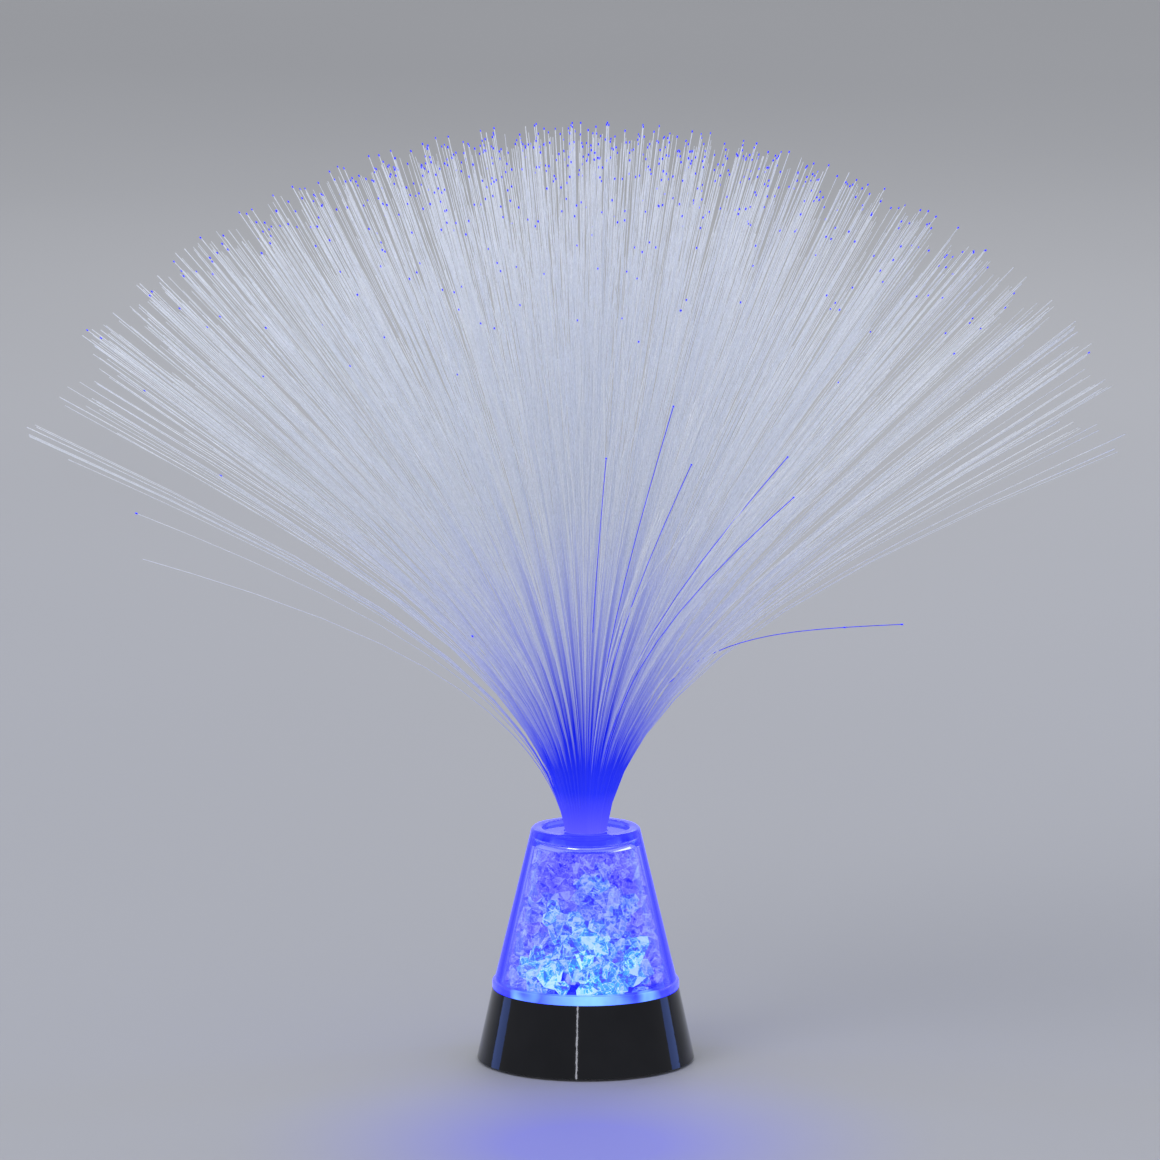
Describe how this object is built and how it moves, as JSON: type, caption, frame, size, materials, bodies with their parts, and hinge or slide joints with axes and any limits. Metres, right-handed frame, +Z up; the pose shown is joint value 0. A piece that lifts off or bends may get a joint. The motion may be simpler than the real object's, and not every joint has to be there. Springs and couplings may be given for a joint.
{
  "type": "fiber optic sensory lamp",
  "caption": "Battery table lamp: dark mirror cone base, clear cone of lit crystal chips and a wide fan of optical fibres with glowing tips.",
  "frame": {"origin": "centre of the underside, on the surface that the rubber feet stand on", "axes": "+Z up along the lamp's axis, -Y towards the front, +X to the right seen from the front"},
  "size_m": [0.4027, 0.4116, 0.345],
  "materials": {
    "mirror_chrome": "dark mirror bright metallised plastic",
    "black_plastic": "fine spark texture",
    "screw_steel": "zinc plated",
    "foot_rubber": "soft matte",
    "cell_jacket": "printed film jacket, left plain",
    "contact_metal": "nickel plated strip",
    "board_green": "solder mask",
    "lamp_epoxy": "clear epoxy, lit blue",
    "resistor_ceramic": "black with bright ends",
    "red_wire": "smooth insulation",
    "black_wire": "smooth insulation",
    "clear_acrylic": "polished clear, blue where lit",
    "crystal_acrylic": "faceted clear chips, lit from below",
    "optical_fibre": "clear side-lit fibre with glowing tips"
  },
  "bodies": {
    "root": {"chrome_base_shell": "mirror_chrome", "base_plate": "black_plastic", "plate_screws": "screw_steel", "board_screws": "screw_steel", "rubber_feet": "foot_rubber", "battery_cell_front": "cell_jacket", "battery_cell_middle": "cell_jacket", "battery_cell_back": "cell_jacket", "output_contact_plus": "contact_metal", "output_contact_minus": "contact_metal", "bridge_contact_left": "contact_metal", "bridge_contact_right": "contact_metal", "spring_leaves": "contact_metal", "switch_housing": "contact_metal", "switch_terminals": "contact_metal", "light_board": "board_green", "centre_lamp": "lamp_epoxy", "ring_lamps": "lamp_epoxy", "colour_controller": "black_plastic", "resistors": "resistor_ceramic", "wire_battery_to_switch": "red_wire", "wire_switch_to_board": "red_wire", "wire_battery_to_board": "black_wire", "clear_cone": "clear_acrylic", "top_cap": "clear_acrylic", "crystal_floor": "clear_acrylic", "fibre_sleeve": "clear_acrylic", "crystal_chips": "crystal_acrylic", "fibre_bundle": "optical_fibre", "fibre_spray": "optical_fibre"},
    "battery_door": {"battery_door": "black_plastic", "door_screw": "screw_steel"},
    "switch_slider": {"switch_slider": "black_plastic"}
  },
  "joints": [
    {"name": "door_hinge", "type": "hinge", "parent": "root", "child": "battery_door", "pos_m": [0.0253, 0, 0.002], "axis": [0, -1, 0], "range_deg": [0, 85]},
    {"name": "switch_slide", "type": "slide", "parent": "root", "child": "switch_slider", "axis": [1, 0, 0], "range_m": [-0.003, 0]}
  ]
}
